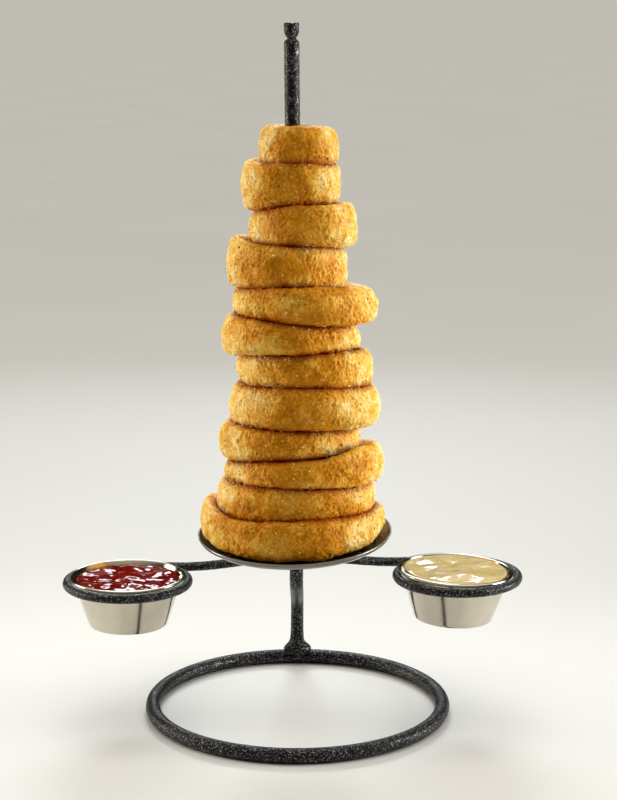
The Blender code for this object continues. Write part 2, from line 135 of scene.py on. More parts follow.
# Burnt crumbs that stand out: ring number, degrees round it from the right (-90 is
# the front), and height from its middle as a share of half its height
BURNT_SPOTS = (
    (1, -42.0, -0.7), (2, -103.0, 0.1), (4, -146.0, 0.8), (5, -29.0, 0.4), (7, -115.0, -0.5),
    (9, -117.0, -0.3), (9, -43.0, 0.1), (10, -143.0, -0.3), (1, -92.0, -0.95), (2, -92.0, -0.95),
    (7, -125.0, -0.95), (7, -80.0, -0.95), (10, -86.0, -0.95), (11, -92.0, -0.95),
)

# Softboxes: name, setting that holds the power, share of it, place and size in metres,
# spread in degrees, height that it aims at, and colour
SOFTBOXES = (
    ("left_softbox", "side_light", 0.53, (-0.62, 0.12, 0.28), (0.30, 0.42), 46.0, 0.19, "#FFF8EC"),
    ("right_softbox", "side_light", 0.76, (0.62, 0.02, 0.28), (0.30, 0.42), 46.0, 0.19, "#FFFFFF"),
    ("rear_softbox", "rear_light", 1.0, (-0.05, 1.25, 0.95), (0.60, 0.24), 80.0, 0.0, "#F0F8FF"),
    ("top_softbox", "top_light", 1.0, (-0.10, 0.60, 1.60), (0.60, 0.60), 120.0, 0.0, "#F0F8FF"),
)
# So wide that its edge lies at the horizon, in metres
FLOOR_SIZE = 1000.0

# Camera: place in metres, tilt below level, and lens and long side in millimetres
CAMERA_PLACE = (0.00835, -1.0003, 0.3674)
CAMERA_TILT = math.radians(11.37)
CAMERA_LENS = 89.8
CAMERA_SENSOR = 36.0


def srgb(code):
    """Turn an sRGB hex colour into linear values with full alpha."""
    values = [int(code[k:k + 2], 16) / 255.0 for k in (1, 3, 5)]
    linear = [v / 12.92 if v <= 0.04045 else ((v + 0.055) / 1.055) ** 2.4 for v in values]
    return (*linear, 1.0)


def scale_for(width_mm):
    """Return the texture scale of a pattern with this width in millimetres."""
    return 1.0 / (width_mm * MM)


def length_setting(name, description, default_mm):
    """Return a length property with its default given in millimetres."""
    return FloatProperty(name=name, description=description, default=default_mm * MM,
                         min=0.0, precision=5, subtype="DISTANCE", unit="LENGTH")


def colour_setting(name, description, code):
    """Return a colour property with its default given as an sRGB hex code."""
    return FloatVectorProperty(name=name, description=description, default=srgb(code),
                               size=4, min=0.0, max=1.0, subtype="COLOR")


def power_setting(name, description, default):
    """Return a property for a lamp's power in watts."""
    return FloatProperty(name=name, description=description, default=default, min=0.0,
                         unit="POWER")


def count_setting(name, description, default):
    """Return a property for a number of crumbs."""
    return IntProperty(name=name, description=description, default=default, min=0, max=9900)


class CrustSettings(bpy.types.PropertyGroup):
    """Sizes and colours of the fried crumb crust."""

    voxel: length_setting("Detail", "Smallest form kept when a ring is remeshed", 0.55)
    swell_width: length_setting("Swell width", "Width of the slow swells of the batter", 12.0)
    swell_height: length_setting("Swell height", "Height of the slow swells", 1.7)
    blister_width: length_setting("Blister width", "Width of the blisters in the batter", 4.8)
    blister_height: length_setting("Blister height", "Height of the blisters", 1.7)
    crumb_width: length_setting("Crumb width", "Width of one crumb in the crust", 1.25)
    crumb_height: length_setting("Crumb height", "Height of one crumb in the crust", 1.2)
    grit_width: length_setting("Grit width", "Width of the finest crumb dust", 0.9)
    grit_height: length_setting("Grit height", "Height of the finest crumb dust", 0.5)
    fine_crumbs: count_setting("Fine crumbs", "Number of small crumbs stuck on top", 4200)
    coarse_crumbs: count_setting("Coarse crumbs", "Number of larger crumbs stuck on top", 2000)
    scorched_crumbs: count_setting("Scorched crumbs", "Number of scattered burnt crumbs", 45)
    burnt_size: length_setting("Burnt size", "Radius of the burnt crumbs that stand out", 0.75)
    cream: colour_setting("Cream", "Palest crumbs, on the crests", "#F9E09A")
    gold: colour_setting("Gold", "Main colour of the crust", "#E7B242")
    amber: colour_setting("Amber", "Browned batter round the crumbs", "#D2860C")
    # Toasted is the batter's own darkest tone, and it also carries the painted shade on each ring's
    # front and rear.
    toasted_and_shaded: colour_setting("Toasted", "Deepest hollows of the batter", "#AE6E0A")
    # Brown is painted shade in the seams between rings, and the brown left on scorched crumbs.
    brown: colour_setting("Brown", "Darkest crust, in the seams", "#903004")
    scorch: colour_setting("Scorch", "Burnt crumbs", "#2A1206")


class StandSettings(bpy.types.PropertyGroup):
    """Sizes and colours of the coated stand, the plate and the cups."""

    hammer_width: length_setting("Hammer width", "Width of one dimple of the coat", 0.9)
    hammer_height: length_setting("Hammer height", "Depth of the dimples of the coat", 0.28)
    black: colour_setting("Coat black", "Ground of the powder coat", "#050506")
    silver: colour_setting("Coat silver", "Silver flecks of the powder coat", "#A09E9C")
    cup_steel: colour_setting("Cup steel", "Polished steel of the cups", "#D2CBBA")
    plate_steel: colour_setting("Plate steel", "Steel of the plate under the rings", "#8C8780")


class DipSettings(bpy.types.PropertyGroup):
    """Sizes and colours of the two dips."""

    ridge_width: length_setting("Ridge width", "Distance between the stirred ridges", 10.0)
    ridge_height: length_setting("Ridge height", "Height of the stirred ridges", 2.8)
    lump_width: length_setting("Lump width", "Width of the lumps in the dip", 5.0)
    lump_height: length_setting("Lump height", "Height of the lumps in the dip", 0.9)
    red: colour_setting("Red dip", "Tomato dip", "#7E1004")
    red_deep: colour_setting("Red dip, deep", "Tomato dip in its hollows", "#4A0802")
    yellow: colour_setting("Yellow dip", "Mustard dip", "#C6A85E")
    yellow_pale: colour_setting("Yellow dip, pale", "Creamy streaks of the mustard dip", "#D2C08C")


class StudioSettings(bpy.types.PropertyGroup):
    """Floor and light."""

    floor: colour_setting("Floor", "Colour of the studio floor", "#E9E8E4")
    side_light: power_setting("Side light", "Power that each side softbox takes a share of", 0.75)
    rear_light: power_setting("Rear light", "Power of the softbox behind", 1.4)
    top_light: power_setting("Top light", "Power of the softbox overhead", 1.4)


def deselect_all():
    """Leave nothing selected, because an operator acts on all that is."""
    for item in bpy.context.view_layer.objects:
        item.select_set(False)


def select_only(piece):
    """Make one object the only selected one, and the active one."""
    deselect_all()
    piece.select_set(True)
    bpy.context.view_layer.objects.active = piece


def apply_modifier(piece, kind, **settings):
    """Add a modifier to a piece and apply it."""
    select_only(piece)
    modifier = piece.modifiers.new(kind.lower(), kind)
    for name, value in settings.items():
        setattr(modifier, name, value)
    bpy.ops.object.modifier_apply(modifier=modifier.name)


def relief(piece, kind, width, height, middle=0.5, group="", **settings):
    """Raise a procedural relief of one width and height on a piece."""
    texture = bpy.data.textures.new("relief", kind)
    texture.noise_scale = width
    for name, value in settings.items():
        setattr(texture, name, value)
    apply_modifier(piece, "DISPLACE", texture=texture, texture_coords="LOCAL", strength=height,
                   mid_level=middle, vertex_group=group)
    bpy.data.textures.remove(texture)


def copy_of(node, name):
    """Copy a CAD node as a new piece of merged quads."""
    source = frame["nodes"][node]
    select_only(source)
    bpy.ops.object.duplicate()
    piece = bpy.context.active_object
    piece.name = name
    piece.data.name = name
    piece.parent = None
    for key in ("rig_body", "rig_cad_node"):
        del piece[key]
    piece.data.materials.clear()
    bpy.ops.mesh.customdata_custom_splitnormals_clear()
    bpy.ops.object.mode_set(mode="EDIT")
    bpy.ops.mesh.select_all(action="SELECT")
    bpy.ops.mesh.remove_doubles(threshold=0.000001)
    bpy.ops.mesh.tris_convert_to_quads()
    bpy.ops.object.mode_set(mode="OBJECT")
    return piece


def turned_piece(name, profile, segments, place_mm, turn):
    """Turn a closed profile of (radius, height) millimetres round Z, by extruding a circle."""
    deselect_all()
    radius, height = profile[0]
    bpy.ops.mesh.primitive_circle_add(vertices=segments, radius=radius * MM,
                                      location=(0.0, 0.0, height * MM))
    piece = bpy.context.active_object
    piece.name = name
    piece.data.name = name
    bpy.ops.object.transform_apply(location=True, rotation=True, scale=True)
    bpy.ops.object.mode_set(mode="EDIT")
    bpy.ops.mesh.select_all(action="SELECT")
    for (radius, height), (next_radius, next_height) in zip(profile, profile[1:]):
        rise = (next_height - height) * MM
        bpy.ops.mesh.extrude_region_move(TRANSFORM_OT_translate={"value": (0.0, 0.0, rise)})
        share = next_radius / radius
        bpy.ops.transform.resize(value=(share, share, 1.0),
                                 center_override=(0.0, 0.0, next_height * MM))
    bpy.ops.mesh.select_all(action="SELECT")
    bpy.ops.mesh.remove_doubles(threshold=0.000005)
    bpy.ops.mesh.select_all(action="DESELECT")
    bpy.ops.mesh.select_non_manifold()
    bpy.ops.mesh.fill_holes(sides=0)
    bpy.ops.mesh.select_all(action="SELECT")
    bpy.ops.mesh.normals_make_consistent(inside=False)
    bpy.ops.object.mode_set(mode="OBJECT")
    piece.location = Vector(place_mm) * MM
    piece.rotation_euler = turn
    select_only(piece)
    bpy.ops.object.transform_apply(location=True, rotation=True, scale=True)
    return piece


def arc(centre_radius, centre_height, radius, start, end, steps):
    """Return profile points on an arc, from one angle in degrees to another."""
    points = []
    for k in range(steps + 1):
        angle = math.radians(start + (end - start) * k / steps)
        points.append((centre_radius + radius * math.cos(angle),
                       centre_height + radius * math.sin(angle)))
    return points


def numbers_of(items, what, width=3):
    """Return one property of a mesh's vertices or faces, with a row for each of them."""
    values = np.empty(len(items) * width, np.float32)
    items.foreach_get(what, values)
    return values.reshape(-1, width)


def paint(mesh, name, values):
    """Store one number per vertex for a material to read."""
    layer = mesh.attributes.new(name, "FLOAT", "POINT")
    layer.data.foreach_set("value", np.asarray(values, np.float32))


def weigh(piece, name, weights):
    """Store weights from 0 to 1 as a vertex group, which holds a relief back by place."""
    group = piece.vertex_groups.new(name=name)
    levels = np.round(weights * WEIGHT_STEPS).astype(int)
    for level in np.unique(levels):
        group.add(np.nonzero(levels == level)[0].tolist(), level / WEIGHT_STEPS, "REPLACE")


def finish_piece(piece, material, slot, *nodes):
    """Give a finished piece its material, and tie it to the frame."""
    piece.data.materials.clear()
    piece.data.materials.append(material)
    select_only(piece)
    bpy.ops.object.shade_smooth()
    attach(piece, "root")
    if nodes:
        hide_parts(*nodes)
    return piece


def add_node(tree, kind, sockets=None, stops=None, **settings):
    """Add a shader node, set its options, and fill or link its sockets."""
    node = tree.nodes.new("ShaderNode" + kind)
    for name, value in settings.items():
        setattr(node, name, value)
    if stops:
        ramp = node.color_ramp.elements
        while len(ramp) < len(stops):
            ramp.new(0.5)
        for element, (position, colour) in zip(ramp, stops):
            element.position = position
            element.color = colour if len(colour) == 4 else (*colour, 1.0)
    for key, value in (sockets or {}).items():
        if isinstance(value, bpy.types.NodeSocket):
            tree.links.new(value, node.inputs[key])
        else:
            node.inputs[key].default_value = value
    return node


def new_material(name):
    """Return a material, its node tree, its Principled shader and its object coordinates."""
    material = bpy.data.materials.new(name)
    material.use_nodes = True
    tree = material.node_tree
    shader = tree.nodes["Principled BSDF"]
    place = add_node(tree, "TexCoord").outputs["Object"]
    return material, tree, shader, place


def fried_crumb_batter():
    """Breadcrumb fried in batter: cream crests on gold, amber hollows, painted brown shade in the
    seams, and painted shade on each ring's front and rear.
    """
    look = bpy.context.scene.onion_crust
    material, tree, shader, place = new_material("fried_crumb_batter")
    height = add_node(tree, "Attribute", attribute_name="crest").outputs["Fac"]
    seam_shade = add_node(tree, "Attribute", attribute_name="seam_shade").outputs["Fac"]
    # Painted shade: each ring's front and rear are made darker, and its sides, which the side
    # softboxes light, stay paler.
    facing = add_node(tree, "Attribute", attribute_name="front_back_shade").outputs["Fac"]
    # Each crumb has its own shade. Patches 10 mm wide and dust 1.1 mm wide break it up, so
    # that no ring looks evenly painted.
    crumbs = add_node(tree, "TexVoronoi", {"Vector": place, "Scale": 1.0 / look.crumb_width})
    clouds = add_node(tree, "TexNoise", {"Vector": place, "Scale": scale_for(10.0), "Detail": 2.0})
    patches = add_node(tree, "MapRange", {"Value": clouds.outputs["Fac"],
                                          "From Min": 0.38, "From Max": 0.64})
    dust = add_node(tree, "TexNoise", {"Vector": place, "Scale": scale_for(1.1), "Detail": 3.0})
    shade = add_node(tree, "SeparateColor", {"Color": crumbs.outputs["Color"]}).outputs["Red"]
    mixed = -0.03
    parts = ((height, 0.46), (shade, 0.25), (patches.outputs["Result"], 0.20),
             (dust.outputs["Fac"], 0.40), (facing, -0.43))
    for value, weight in parts:
        added = add_node(tree, "Math", {0: value, 1: weight, 2: mixed}, operation="MULTIPLY_ADD")
        mixed = added.outputs[0]
    level = add_node(tree, "MapRange", {"Value": mixed, "From Min": -0.32, "From Max": 0.95})
    tone = add_node(tree, "ValToRGB", {"Fac": level.outputs["Result"]}, stops=(
        (0.02, look.toasted_and_shaded), (0.24, look.amber), (0.50, look.gold), (0.82, look.cream)))
    # Painted shade in the seams: brown is laid over the crust where the next ring is near.
    # The Mix node has a set of sockets for each data type, so its colours are reached by place.
    seam_shaded = add_node(tree, "Mix", {0: seam_shade, 6: tone.outputs["Color"], 7: look.brown},
                       data_type="RGBA")
    tree.links.new(seam_shaded.outputs[2], shader.inputs["Base Color"])
    rough = add_node(tree, "MapRange", {"Value": dust.outputs["Fac"], "From Min": 0.3,
                                        "From Max": 0.7, "To Min": 0.36, "To Max": 0.62})
    tree.links.new(rough.outputs["Result"], shader.inputs["Roughness"])
    # Flour dust 0.5 mm wide keeps the shine of the oil broken.
    grit = add_node(tree, "TexNoise", {"Vector": place, "Scale": scale_for(0.5), "Detail": 2.0})
    bump = add_node(tree, "Bump", {"Height": grit.outputs["Fac"],
                                   "Distance": 0.0004, "Strength": 0.6})
    tree.links.new(bump.outputs["Normal"], shader.inputs["Normal"])
    tree.links.new(bump.outputs["Normal"], shader.inputs["Coat Normal"])
    shader.inputs["Coat Weight"].default_value = 0.09
    shader.inputs["Coat Roughness"].default_value = 0.16
    shader.inputs["IOR"].default_value = 1.45
    shader.inputs["Specular IOR Level"].default_value = 0.14
    # Frying oil on the crust tints its shine golden.
    shader.inputs["Specular Tint"].default_value = srgb("#FFDCA0")
    # Light sinks 1.8 mm into the thick batter and 0.3 mm into a loose crumb.
    soft = add_node(tree, "Attribute", attribute_name="soft").outputs["Fac"]
    sinking = add_node(tree, "MapRange", {"Value": soft, "To Min": 0.0003, "To Max": 0.0018})
    tree.links.new(sinking.outputs["Result"], shader.inputs["Subsurface Scale"])
    shader.inputs["Subsurface Radius"].default_value = (1.0, 0.8, 0.4)
    shader.inputs["Subsurface Weight"].default_value = 0.4
    return material


def scorched_crumb():
    """Crumb burnt nearly black in the fryer: dull and dry, with brown left in spots."""
    look = bpy.context.scene.onion_crust
    material, tree, shader, place = new_material("scorched_crumb")
    spots = add_node(tree, "TexNoise", {"Vector": place, "Scale": scale_for(0.6)})
    tone = add_node(tree, "ValToRGB", {"Fac": spots.outputs["Fac"]},
                    stops=((0.35, look.scorch), (0.75, look.brown)))
    tree.links.new(tone.outputs["Color"], shader.inputs["Base Color"])
    shader.inputs["Roughness"].default_value = 0.6
    return material


def hammered_powder_coat():
    """Black powder coat with silver in it: rough black dimples with fine silver flecks."""
    look = bpy.context.scene.onion_stand
    material, tree, shader, place = new_material("hammered_powder_coat")
    # The real flecks are finer, and drawn as coarse as they need to be to show.
    veins = add_node(tree, "TexNoise", {"Vector": place, "Scale": 1.0 / look.hammer_width,
                                        "Detail": 4.0, "Roughness": 0.7}).outputs["Fac"]
    flecks = add_node(tree, "ValToRGB", {"Fac": veins},
                      stops=((0.55, look.black), (0.63, look.silver)))
    tree.links.new(flecks.outputs["Color"], shader.inputs["Base Color"])
    shine = add_node(tree, "MapRange", {"Value": veins, "From Min": 0.55, "From Max": 0.63,
                                        "To Min": 0.0, "To Max": 0.6})
    tree.links.new(shine.outputs["Result"], shader.inputs["Metallic"])
    rough = add_node(tree, "MapRange", {"Value": veins, "From Min": 0.52, "From Max": 0.62,
                                        "To Min": 0.42, "To Max": 0.26})
    tree.links.new(rough.outputs["Result"], shader.inputs["Roughness"])
    bump = add_node(tree, "Bump", {"Height": veins, "Distance": 0.0003, "Strength": 0.8})
    tree.links.new(bump.outputs["Normal"], shader.inputs["Normal"])
    shader.inputs["Specular IOR Level"].default_value = 0.18
    return material


def spun_steel(name, colour, roughness):
    """Stainless steel spun and polished: clear reflections with faint lines round the part."""
    material, tree, shader, place = new_material(name)
    # The spinning tool leaves lines round Z, 0.4 mm apart. Wiping leaves smears 12 mm wide.
    stretch = add_node(tree, "Mapping", {"Vector": place, "Scale": (20.0, 20.0, 2400.0)})
    lines = add_node(tree, "TexNoise", {"Vector": stretch.outputs["Vector"],
                                        "Scale": 1.0, "Detail": 3.0}).outputs["Fac"]
    smears = add_node(tree, "TexNoise", {"Vector": place, "Scale": scale_for(12.0), "Detail": 3.0})
    tone = add_node(tree, "ValToRGB", {"Fac": smears.outputs["Fac"]}, stops=(
        (0.3, [c * 0.86 for c in colour[:3]]), (0.7, colour)))
    tree.links.new(tone.outputs["Color"], shader.inputs["Base Color"])
    rough = add_node(tree, "MapRange", {"Value": lines, "From Min": 0.3, "From Max": 0.7,
                                        "To Min": roughness * 0.75, "To Max": roughness * 1.3})
    tree.links.new(rough.outputs["Result"], shader.inputs["Roughness"])
    bump = add_node(tree, "Bump", {"Height": lines, "Distance": 0.00005, "Strength": 0.25})
    tree.links.new(bump.outputs["Normal"], shader.inputs["Normal"])
    shader.inputs["Metallic"].default_value = 1.0
    return material


def wet_sauce(name, deep, colour, streak_mm, roughness, gloss):
    """Thick sauce, spooned in and stirred: wet gloss over streaks, with fine pulp in it."""
    material, tree, shader, place = new_material(name)
    clouds = add_node(tree, "TexNoise", {"Vector": place, "Scale": scale_for(streak_mm),
                                         "Detail": 4.0})
    pulp = add_node(tree, "TexVoronoi", {"Vector": place, "Scale": scale_for(2.2)})
    mixed = add_node(tree, "Math", {0: pulp.outputs["Distance"], 1: 0.35, 2: clouds.outputs["Fac"]},
                     operation="MULTIPLY_ADD")
    tone = add_node(tree, "ValToRGB", {"Fac": mixed.outputs[0]},
                    stops=((0.40, deep), (0.75, colour)))
    tree.links.new(tone.outputs["Color"], shader.inputs["Base Color"])
    ripple = add_node(tree, "TexNoise", {"Vector": place, "Scale": scale_for(1.6), "Detail": 2.0})
    bump = add_node(tree, "Bump", {"Height": ripple.outputs["Fac"],
                                   "Distance": 0.0003, "Strength": 0.06})
    tree.links.new(bump.outputs["Normal"], shader.inputs["Normal"])
    shader.inputs["Roughness"].default_value = roughness
    shader.inputs["IOR"].default_value = 1.42
    shader.inputs["Specular IOR Level"].default_value = gloss
    shader.inputs["Subsurface Weight"].default_value = 0.15
    shader.inputs["Subsurface Radius"].default_value = (1.0, 0.3, 0.15)
    shader.inputs["Subsurface Scale"].default_value = 0.002
    return material


def studio_floor():
    """Matt painted board: pale, with a soft shadow and hardly any shine."""
    look = bpy.context.scene.onion_studio
    material, tree, shader, place = new_material("matt_studio_board")
    tone = add_node(tree, "TexNoise", {"Vector": place, "Scale": 3.0, "Detail": 1.0})
    ramp = add_node(tree, "ValToRGB", {"Fac": tone.outputs["Fac"]}, stops=(
        (0.3, [c * 0.97 for c in look.floor[:3]]), (0.7, look.floor)))
    tree.links.new(ramp.outputs["Color"], shader.inputs["Base Color"])
    shader.inputs["Roughness"].default_value = 0.55
    return material


def seam_nearness(points, numbers):
    """Return how near each point is to the rings above and below, from 0 to 1."""
    nearness = np.zeros(len(points))
    for number in numbers:
        if not 1 <= number <= RING_COUNT:
            continue
        source = frame["nodes"][f"onion_ring_{number:02d}"]
        tree = BVHTree.FromPolygons([v.co for v in source.data.vertices],
                                    [p.vertices for p in source.data.polygons])
        low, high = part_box(source.name)
        near = np.nonzero((points[:, 2] > low.z - 0.004) & (points[:, 2] < high.z + 0.004))[0]
        for index in near:
            distance = tree.find_nearest(Vector(points[index]), SEAM_REACH * MM)[3]
            if distance is not None:
                away = (distance / MM - SEAM_CORE) / (SEAM_REACH - SEAM_CORE)
                share = 1.0 - min(max(away, 0.0), 1.0)
                nearness[index] = max(nearness[index], share ** SEAM_FALL)
    return nearness


def settle(piece, number):
    """Let a ring sink a little on its neighbours, so that the seams are pressed shut."""
    low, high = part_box(f"onion_ring_{number:02d}")
    level = {1: high.z, RING_COUNT: low.z}.get(number, (low.z + high.z) / 2.0)
    select_only(piece)
    bpy.ops.object.mode_set(mode="EDIT")
    bpy.ops.mesh.select_all(action="SELECT")
    bpy.ops.transform.resize(value=(1.0, 1.0, RING_STRETCH), center_override=(0.0, 0.0, level))
    bpy.ops.object.mode_set(mode="OBJECT")


def front_back_shading(points, number, centre):
    """Return painted shade on the batter: most on a ring's front and rear, least at its sides."""
    around = points - centre
    frontness = np.abs(around[:, 1]) / np.hypot(around[:, 0], around[:, 1])
    wander = (0.25 * np.sin(around[:, 0] * 130.0 + number)
              + 0.2 * np.sin(around[:, 2] * 300.0 + 2.0 * number))
    return np.clip((frontness - 0.55 + 0.7 * wander) / 0.4, 0.0, 1.0)


def fry_ring(number, material):
    """Turn one ring's solid into battered crust with blisters, crumbs and grit."""
    look = bpy.context.scene.onion_crust
    node = f"onion_ring_{number:02d}"
    piece = copy_of(node, f"crumbed_ring_{number:02d}")
    apply_modifier(piece, "SUBSURF", levels=2, render_levels=2)
    apply_modifier(piece, "REMESH", mode="VOXEL", voxel_size=look.voxel)
    apply_modifier(piece, "SMOOTH", factor=0.5, iterations=4)
    settle(piece, number)
    relief(piece, "CLOUDS", look.swell_width, look.swell_height, 0.42)
    start = numbers_of(piece.data.vertices, "co")
    outward = numbers_of(piece.data.vertices, "normal")
    ruggedness(piece, start)
    relief(piece, "CLOUDS", look.blister_width, look.blister_height, 0.45, "rugged")
    relief(piece, "VORONOI", look.crumb_width, -look.crumb_height, 0.45, "rugged")
    apply_modifier(piece, "SMOOTH", factor=0.5, iterations=1)
    relief(piece, "CLOUDS", look.grit_width, look.grit_height, 0.5, noise_depth=1)
    end = numbers_of(piece.data.vertices, "co")
    rise = ((end - start) * outward).sum(axis=1)
    paint(piece.data, "crest", np.clip(rise / (0.6 * look.crumb_height), -0.3, 0.9))
    # Painted shade, in the seams next to the rings above and below, and on the ring's front and
    # rear.
    paint(piece.data, "seam_shade", seam_nearness(start, (number - 1, number + 1)))
    centre = (start.min(axis=0) + start.max(axis=0)) / 2.0
    paint(piece.data, "front_back_shade", front_back_shading(start, number, centre))
    paint(piece.data, "soft", np.ones(len(start)))
    return finish_piece(piece, material, "crust", node)


def ruggedness(piece, points):
    """Weigh where a ring is crumbly, mostly at its sides, and where the batter is smoother."""
    x, y, z = (points / MM).T
    blend = (np.sin(0.31 * x + 0.23 * z) + np.sin(0.27 * y - 0.35 * z + 1.0)
             + 0.7 * np.sin(0.55 * x - 0.4 * y + 0.6 * z))
    around = points - points.mean(axis=0)
    side = np.abs(around[:, 0]) / np.hypot(around[:, 0], around[:, 1])
    weigh(piece, "rugged", np.clip(0.24 + 0.66 * side + 0.14 * blend, 0.12, 1.0))


class CrumbedRings(bpy.types.Operator):
    """Turn every onion ring into fried crumb crust"""

    bl_idname = "onion_tower.crumbed_rings"
    bl_label = "Crumbed rings"

    def execute(self, context):
        material = fried_crumb_batter()
        for number in range(1, RING_COUNT + 1):
            fry_ring(number, material)
        return {"FINISHED"}


def model_crumb(seed):
    """Model one angular crumb, 1 m in radius, by pulling an icosphere about."""
    deselect_all()
    bpy.ops.mesh.primitive_ico_sphere_add(subdivisions=1, radius=1.0)
    crumb = bpy.context.active_object
    bpy.ops.object.mode_set(mode="EDIT")
    bpy.ops.mesh.select_all(action="SELECT")
    bpy.ops.transform.vertex_random(offset=0.28, uniform=0.4, seed=seed)
    bpy.ops.object.mode_set(mode="OBJECT")
    points = numbers_of(crumb.data.vertices, "co")
    faces = np.array([p.vertices for p in crumb.data.polygons])
    bpy.data.objects.remove(crumb, do_unlink=True)
    return points, faces


def scatter(name, spots, sizes, seed, crest_range):
    """Join copies of one crumb at the spots (place, direction) into a single mesh."""
    pick = np.random.default_rng(seed)
    points, faces = model_crumb(seed)
    places, outward, front_back_shade = spots
    count = len(places)
    # Each crumb is turned by a random unit quaternion.
    turns = pick.normal(size=(count, 4))
    turns /= np.linalg.norm(turns, axis=1, keepdims=True)
    w, x, y, z = turns.T
    spin = np.stack((
        1 - 2 * (y * y + z * z), 2 * (x * y - z * w), 2 * (x * z + y * w),
        2 * (x * y + z * w), 1 - 2 * (x * x + z * z), 2 * (y * z - x * w),
        2 * (x * z - y * w), 2 * (y * z + x * w), 1 - 2 * (x * x + y * y),
    ), axis=1).reshape(count, 3, 3)
    stretch = pick.uniform(0.65, 1.25, size=(count, 1, 3))
    grown = points[None] * stretch * sizes[:, None, None]
    middles = places + outward * sizes[:, None] * -CRUMB_SINK
    grown = np.einsum("nij,nkj->nki", spin, grown) + middles[:, None]
    mesh = bpy.data.meshes.new(name)
    shifted = faces[None] + (np.arange(count) * len(points))[:, None, None]
    mesh.from_pydata(grown.reshape(-1, 3).tolist(), [], shifted.reshape(-1, 3).tolist())
    paint(mesh, "crest", np.repeat(pick.uniform(*crest_range, size=count), len(points)))
    # Each crumb takes the painted front and rear shade of its place.
    paint(mesh, "front_back_shade", np.repeat(front_back_shade, len(points)))
    piece = bpy.data.objects.new(name, mesh)
    bpy.context.scene.collection.objects.link(piece)
    return piece


def crust_spots(count, seed):
    """Pick places spread evenly over the outsides of the crumbed rings."""
    pick = np.random.default_rng(seed)
    centres, outward, areas, front_back_shade = [], [], [], []
    for number in range(1, RING_COUNT + 1):
        mesh = bpy.data.objects[f"crumbed_ring_{number:02d}"].data
        place = numbers_of(mesh.polygons, "center")
        normal = numbers_of(mesh.polygons, "normal")
        area = numbers_of(mesh.polygons, "area", 1)[:, 0]
        middle = (place.min(axis=0) + place.max(axis=0)) / 2.0
        away = place - middle
        outside = away[:, 0] * normal[:, 0] + away[:, 1] * normal[:, 1]
        outside /= np.hypot(away[:, 0], away[:, 1])
        # The top ring also carries crumbs on its upper side, because nothing covers it.
        area[outside < (0.15 if number > 1 else -0.4)] = 0.0
        # Painted shade on the ring's front and rear: fewer crumbs sit there, and each crumb takes
        # that shade.
        brown = front_back_shading(place, number, middle)
        area *= 1.0 - 0.7 * brown
        front_back_shade.append(brown)
        centres.append(place)
        outward.append(normal)
        areas.append(area)
    areas = np.concatenate(areas)
    chosen = pick.choice(len(areas), size=count, replace=False, p=areas / areas.sum())
    return [np.concatenate(rows)[chosen] for rows in (centres, outward, front_back_shade)]


def burnt_spots():
    """Return the places, directions and full painted front and rear shade of the burnt crumbs that
    stand out.
    """
    places, outward = [], []
    for number, degrees, share in BURNT_SPOTS:
        low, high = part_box(f"onion_ring_{number:02d}")
        centre, half = (low + high) / 2.0, (high - low) / 2.0
        turn = math.radians(degrees)
        aim = centre + Vector((math.cos(turn) * half.x, math.sin(turn) * half.y, share * half.z))
        ring = bpy.data.objects[f"crumbed_ring_{number:02d}"]
        found = ring.closest_point_on_mesh(aim)
        places.append(found[1])
        outward.append(found[2])
    return np.array(places), np.array(outward), np.ones(len(places))


class StuckCrumbs(bpy.types.Operator):
    """Stick loose crumbs, fine, coarse and scorched, on the crust"""

    bl_idname = "onion_tower.stuck_crumbs"
    bl_label = "Stuck crumbs"

    def execute(self, context):
        look = context.scene.onion_crust
        crust = bpy.data.materials["fried_crumb_batter"]
        burnt_crust = scorched_crumb()
        # Name, number, radii in millimetres, seed, range of the crest value, and material
        kinds = (
            ("fine_crumbs", look.fine_crumbs, 0.30, 0.55, 11, (0.1, 1.0), crust),
            ("coarse_crumbs", look.coarse_crumbs, 0.45, 0.90, 12, (0.0, 0.9), crust),
            ("scorched_crumbs", look.scorched_crumbs, 0.25, 0.5, 13, (0.0, 0.2), burnt_crust),
        )
        for name, count, small, large, seed, crest_range, material in kinds:
            spots = crust_spots(count, seed)
            sizes = np.random.default_rng(seed + 100).uniform(small, large, size=count) * MM
            if name == "scorched_crumbs":
                burnt = burnt_spots()
                spots = [np.concatenate(pair) for pair in zip(spots, burnt)]
                sizes = np.append(sizes, np.full(len(burnt[0]), look.burnt_size))
            piece = scatter(name, spots, sizes, seed, crest_range)
            finish_piece(piece, material, "crust")
            # A broken crumb has edges. It would look like a bead if it were smooth.
            bpy.ops.object.shade_flat()
        return {"FINISHED"}


def hammer(piece):
    """Dimple a coated rod."""
    look = bpy.context.scene.onion_stand
    relief(piece, "CLOUDS", look.hammer_width, look.hammer_height, 0.5, noise_depth=1)


